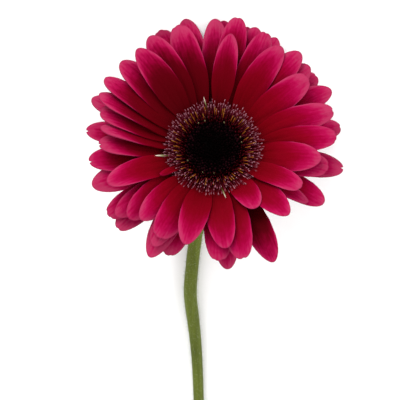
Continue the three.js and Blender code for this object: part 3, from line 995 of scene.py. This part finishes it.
# The fringe
# The florets between the petals and the eye: dark straps with a plum tip that curls outwards,
# styles as thin as a hair that end in two lilac lobes, and the orange anther tubes of the open
# ones. They grow from a bed round the eye, and all hang a little towards the stem. Each ring
# is its number of florets, their feet's radius and height, their stand, length and width.
FRINGE_BED = [(11.6, -1), (13.4, -1), (13.4, 2.6), (12.7, 3.6), (11.6, 3.4), (11.6, -1)]
FRINGE_RINGS = [
    (72, 13.2, 2.2, 36, 7.6, 0.5),
    (72, 13, 2.4, 46, 6.6, 0.5),
    (72, 12.7, 2.6, 58, 5, 0.45),
    (72, 12.7, 2.4, 70, 3.4, 0.45),
]
YOUNG_RINGS = [
    (60, 12.1, 2.6, 70, 3.2, 0.5),
    (56, 11.6, 2.4, 86, 3, 0.5),
]
STYLE_RINGS = [
    (116, 13.5, 2.6, 37, 8.7, 0.22),
    (112, 13.3, 3, 43, 7.9, 0.22),
    (104, 13.1, 3, 50, 7.2, 0.22),
    (64, 12.9, 3, 60, 6.2, 0.22),
]
ANTHER_RINGS = [
    (32, 12.8, 3.2, 46, 6.6, 0.36),
    (24, 12.3, 3.2, 56, 6.2, 0.36),
]
FRINGE_SAG = 5  # how far all the florets lean towards the stem
FOOT_NEAR_STEM = 0.5  # mm that the feet lie further out on the side of the stem
STAND_NEAR_STEM = 10  # degrees that the florets stand steeper there
STAND_STRAY = 7  # how much steeper or flatter than its ring a floret may stand
LENGTH_SHARES = (0.82, 1.1)
TWIST = 0.8  # radians by which a floret may be turned about itself, either way


def ring_places(ring, chance):
    """Places for one ring of florets: feet on a circle, leaning outwards, each a bit its own."""
    count, radius, height, stand, length, width = ring
    places = []
    for i in range(count):
        azimuth = (i + between(-0.5, 0.5, next(chance))) / count * 2 * pi
        down = -sin(azimuth)  # 1 for the florets nearest the stem, -1 for the furthest
        foot = radius + FOOT_NEAR_STEM * max(0, down)
        slant = stand + STAND_NEAR_STEM * max(0, down)
        slant += between(-STAND_STRAY, STAND_STRAY, next(chance))
        # The lower florets are the longest: by a third at the stem, and shorter by a tenth above.
        long = between(*LENGTH_SHARES, next(chance)) + (0.22 + 0.12 * down) * down
        twist = between(-TWIST, TWIST, next(chance))
        places.append(
            to_table
            @ Matrix.Translation((foot * cos(azimuth), foot * sin(azimuth), height))
            @ Matrix.Rotation(radians(FRINGE_SAG), 4, "X")
            @ Matrix.Rotation(azimuth, 4, "Z")
            @ Matrix.Rotation(radians(90 - slant), 4, "Y")
            @ Matrix.Rotation(twist, 4, "Z")
            @ Matrix.Diagonal((width / 2, width / 2, length * long, 1))
        )
    return places


def bent(piece, curl, flat=1.0):
    """Flattens a floret and curls it outwards by a number of its half widths, more at its tip."""
    for vertex in piece.data.vertices:
        vertex.co.x = vertex.co.x * flat + curl * max(0, vertex.co.z) ** 3
    return piece


def grown(floret, rings, tissue):
    """Copies of a floret in their rings on the bed, made into one piece."""
    places = [place for ring in rings for place in ring_places(ring, chance)]
    kept(scattered(floret, places, chance), "fringe_florets", "fringe", tissue)


BED_MEASURE = 40  # so long that the whole bed has the painted shade of the straps' feet
fringe_bed = turned("fringe_bed", FRINGE_BED, 96)
measured(fringe_bed, BED_MEASURE)
fringe_bed.data.transform(to_table)

# Floret tissue: moist and soft, all but black at the foot, which is painted shade so that the ring
# looks deep, wine red further up and plum at the tip.
strap_tissue = graded(
    "floret_strap_tissue",
    [(0, "#080001"), (0.5, "#1e0204"), (0.8, "#48080f"), (1, "#5c1828")],
)
kept(fringe_bed, "fringe_florets", "fringe", strap_tissue)

chance = seeded(23)
strap_outline = [(0.6, 0), (0.85, 0.35), (1, 0.7), (0.75, 0.9), (0.25, 1)]
strap = measured(bent(turned("fringe_straps", strap_outline, 6), 3, flat=0.45), 1)
grown(strap, FRINGE_RINGS, strap_tissue)

# The innermost are short and still dark, and soften the edge of the eye. They are measured as
# if longer, so that they end short of the palest colour.
YOUNG_MEASURE = 1.1
young_strap = bent(turned("young_straps", strap_outline, 6), 1, flat=0.6)
grown(measured(young_strap, YOUNG_MEASURE), YOUNG_RINGS, strap_tissue)

# Three florets of the outer ring have grown longer than the rest: a spike at the top, one that
# lies on the petals at the left and one that hangs out at the bottom. Each is its azimuth, the
# height of its foot, its swing to the side, its stand, length and width.
LONG_FOOT = 13.6  # their distance from the middle of the eye
LONG_FLORETS = [
    (96.9, 5, 11.5, 34, 8.6, 0.5),
    (197.6, 4, -10, 28.4, 12.6, 0.9),
    (277.6, 3.4, 9.5, 34.4, 14.4, 0.55),
]

# Long floret tissue: brown at the foot and green along its neck, with a pale, waxy end.
pale_tissue = graded(
    "long_floret_tissue",
    [(0.3, "#34140c"), (0.55, "#3a3c14"), (0.72, "#74704e"), (0.95, "#c8baac")],
)
long_outline = [(0.4, 0), (0.45, 0.45), (1, 0.72), (0.7, 0.88), (0.12, 1)]
long_floret = measured(bent(turned("long_florets", long_outline, 8), 1.5, flat=0.4), 1)
places = []
for azimuth, height, swing, stand, length, width in LONG_FLORETS:
    places.append(
        to_table
        @ Matrix.Rotation(radians(azimuth), 4, "Z")
        @ Matrix.Translation((LONG_FOOT, 0, height))
        @ Matrix.Rotation(radians(swing), 4, "Z")
        @ Matrix.Rotation(radians(90 - stand), 4, "Y")
        @ Matrix.Diagonal((width / 2, width / 2, length, 1))
    )
kept(scattered(long_floret, places, chance), "fringe_florets", "fringe", pale_tissue)

# Style tissue: a thread as thin as a hair, dark at its foot, with two lobes of dusty lilac that
# show as the pale dots of the ring.
LOBES_FROM = 0.86  # place along the style where its lobes part
LOBE_SPREAD = 10  # half widths that they part over a whole length

style_tissue = graded(
    "floret_style_tissue",
    [(0, "#180204"), (0.6, "#420812"), (0.86, "#62222e"), (0.93, "#784451"), (1, "#9a6a76")],
)
style_parts = [turned("style_thread", [(1, 0), (0.8, 0.5), (0.7, 0.9)], 4)]
for side in (-1, 1):
    lobe = turned("style_lobe", [(0.5, LOBES_FROM), (1, 0.93), (0.35, 1)], 4)
    for vertex in lobe.data.vertices:
        vertex.co.y += side * LOBE_SPREAD * (vertex.co.z - LOBES_FROM)
    style_parts.append(lobe)
style = measured(bent(joined(style_parts, "fringe_styles"), 8), 1)
grown(style, STYLE_RINGS, style_tissue)

# Anther tissue: a dry tube of dusty orange, paler with pollen at its mouth, on a dark foot.
anther_tissue = graded(
    "anther_tissue",
    [(0, "#180103"), (0.4, "#2e0804"), (0.48, "#68300a"), (0.8, "#7c4612"), (0.97, "#8c5c28")],
    unlike=0.12,
    roughness=0.7,
)
anther_outline = [(0.5, 0), (0.6, 0.38), (1, 0.44), (1, 0.93), (0.45, 1)]
anther = measured(bent(turned("fringe_anthers", anther_outline, 6), 1), 1)
grown(anther, ANTHER_RINGS, anther_tissue)


# The eye
# The closed disc florets: a low dome, the top of the receptacle, packed with near-black buds
# that grow in crossing spirals, small in the middle and larger at the rim. A few by the rim
# are about to open.
EYE_RADIUS = 11.8
EYE_RIM = 2.6
EYE_CROWN = 1.2
EYE_BUDS = 340
BUD_REACH = 11  # radius of the outermost buds, which lean over the foot of the fringe
BUD_STRAY = 0.3  # how far a bud may stand from its place in the spiral
BUD_SUNK = 0.3  # how deep its foot is sunk in the dome
BUD_LENGTH = 1.75
BUD_LEAN = 0.3  # radians that the outermost lean outwards
EYE_MEASURE = 60  # so long that the whole dome has the darkest colour
GOLDEN_ANGLE = radians(137.508)
GREEN_TIPS = (8, 18, 66, 104, 118, 207, 249, 268)  # degrees round the eye
GREEN_TIP_LENGTH = 1.8

dome_outline = [(EYE_RADIUS, -1), (EYE_RADIUS, EYE_RIM)]
for share in (0.9, 0.75, 0.55, 0.3, 0.05):
    dome_outline.append((EYE_RADIUS * share, EYE_RIM + EYE_CROWN * (1 - share * share)))
dome = turned("eye_dome", dome_outline, 72)
measured(dome, EYE_MEASURE)
dome.data.transform(to_table)

# Bud skin: smooth, matt and almost black, with a breath of wine red on the outer buds' tips.
bud_skin = blank_material("disc_bud_skin")
tone = add(bud_skin, "Attribute", attribute_name="tone").outputs["Fac"]
outer = add(bud_skin, "Attribute", attribute_name="outer").outputs["Fac"]
up_bud = add(bud_skin, "Attribute", attribute_name="along").outputs["Fac"]
reddened = add(bud_skin, "Math", {0: outer, 1: up_bud}, operation="MULTIPLY")
shift = add(bud_skin, "Math", {0: tone, 1: 0.25, 2: reddened}, operation="MULTIPLY_ADD")
shade = add(
    bud_skin,
    "ValToRGB",
    {0: shift},
    stops=[(0.3, "#030101"), (0.7, "#0b0204"), (1, "#20070d")],
)
surface = add(
    bud_skin,
    "BsdfPrincipled",
    {"Base Color": shade, "Roughness": 0.6, "Specular IOR Level": 0.01},
)
add(bud_skin, "OutputMaterial", {"Surface": surface})
kept(dome, "eye_florets", "eye", bud_skin)

chance = seeded(31)
bud_outline = [(0.42, 0), (0.6, 0.5), (0.55, 1.0), (0.3, 1.5), (0.08, BUD_LENGTH)]
bud = measured(turned("eye_buds", bud_outline, 6), BUD_LENGTH)
buds = []
for i in range(EYE_BUDS):
    share = sqrt((i + 0.5) / EYE_BUDS)
    size = 0.7 + 0.4 * share + between(0, 0.25, next(chance))
    height = EYE_RIM + EYE_CROWN * (1 - share * share) - BUD_SUNK
    turn = Matrix.Rotation(i * GOLDEN_ANGLE, 4, "Z")
    tilt = BUD_LEAN * share * share + between(-0.05, 0.05, next(chance))
    lean = Matrix.Rotation(tilt, 4, "Y")
    stray = [between(-BUD_STRAY, BUD_STRAY, next(chance)) for axis in "xy"]
    stand = Matrix.Translation((share * BUD_REACH + stray[0], stray[1], height))
    copy = copied(bud)
    copy.data.transform(to_table @ turn @ stand @ lean @ Matrix.Scale(size, 4))
    number_on(copy, "tone", between(-1, 1, next(chance)))
    number_on(copy, "outer", share)
    buds.append(copy)
bpy.data.objects.remove(bud)
kept(joined(buds, "eye_buds"), "eye_florets", "eye", bud_skin)

# Opening floret tip: dull olive at the foot and pale yellow-green at the mouth, a bright speck.
tip_tissue = graded("opening_floret_tip", [(0, "#2c2a12"), (1, "#6e6648")])
tip_outline = [(0.2, 0), (0.32, 0.9), (0.3, 1.5), (0.12, GREEN_TIP_LENGTH)]
green_tip = measured(turned("green_tips", tip_outline, 6), GREEN_TIP_LENGTH)
places = []
for degrees in GREEN_TIPS:
    radius = EYE_RADIUS + between(-0.2, 0.6, next(chance))
    turn = Matrix.Rotation(radians(degrees + between(0, 4, next(chance))), 4, "Z")
    places.append(to_table @ turn @ Matrix.Translation((radius, 0, EYE_RIM + 0.9)))
kept(scattered(green_tip, places, chance), "eye_florets", "eye", tip_tissue)
